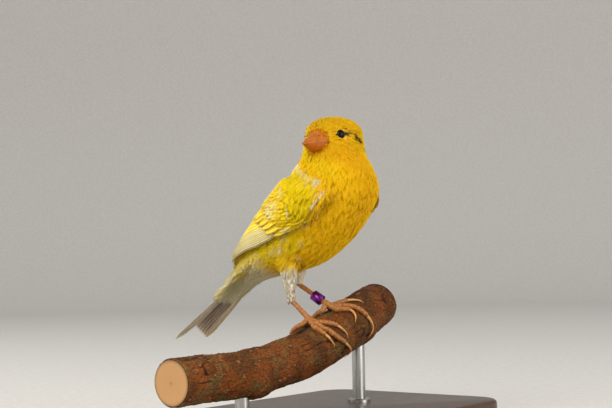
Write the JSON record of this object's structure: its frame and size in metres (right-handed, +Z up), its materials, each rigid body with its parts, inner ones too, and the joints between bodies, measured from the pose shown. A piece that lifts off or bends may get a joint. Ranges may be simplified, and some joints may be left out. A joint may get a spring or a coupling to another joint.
{
  "type": "canary",
  "caption": "Life-size canary model gripping a cut length of branch on a plain stand, head turned over its right side, ring on one leg.",
  "frame": {"origin": "centre of the flat underside of the display base", "axes": "+Z up, -Y the way the body faces, +X the bird's left, so its tail points to +Y and its bill to -X"},
  "size_m": [0.1421, 0.1081, 0.1158],
  "materials": {
    "yellow_feather": "soft golden yellow body feathers",
    "wing_feather": "lemon flight and tail feathers with cream edges",
    "pale_feather": "cream down of the thighs",
    "bill_horn": "satin flesh-coloured horn",
    "eye_black": "wet black",
    "leg_skin": "scaled flesh-coloured skin",
    "claw_horn": "satin amber horn",
    "ring_purple": "purple anodised",
    "perch_bark": "rough reddish-brown bark",
    "stand_wood": "dark stained and waxed",
    "stand_steel": "brushed"
  },
  "bodies": {
    "root": {"bill_lower": "bill_horn", "bill_upper": "bill_horn", "claw_left_front_1": "claw_horn", "claw_left_front_2": "claw_horn", "claw_left_front_3": "claw_horn", "claw_left_hallux": "claw_horn", "claw_right_front_1": "claw_horn", "claw_right_front_2": "claw_horn", "claw_right_front_3": "claw_horn", "claw_right_hallux": "claw_horn", "eye_left": "eye_black", "eye_right": "eye_black", "foot_left": "leg_skin", "foot_right": "leg_skin", "hallux_left": "leg_skin", "hallux_right": "leg_skin", "head": "yellow_feather", "leg_ring": "ring_purple", "neck": "yellow_feather", "perch": "perch_bark", "rump": "yellow_feather", "stand_base": "stand_wood", "stand_rod_left": "stand_steel", "stand_rod_right": "stand_steel", "tail": "wing_feather", "tarsus_left": "leg_skin", "tarsus_right": "leg_skin", "thigh_left": "pale_feather", "thigh_right": "pale_feather", "torso": "yellow_feather", "wing_left": "wing_feather", "wing_right": "wing_feather"}
  },
  "joints": []
}
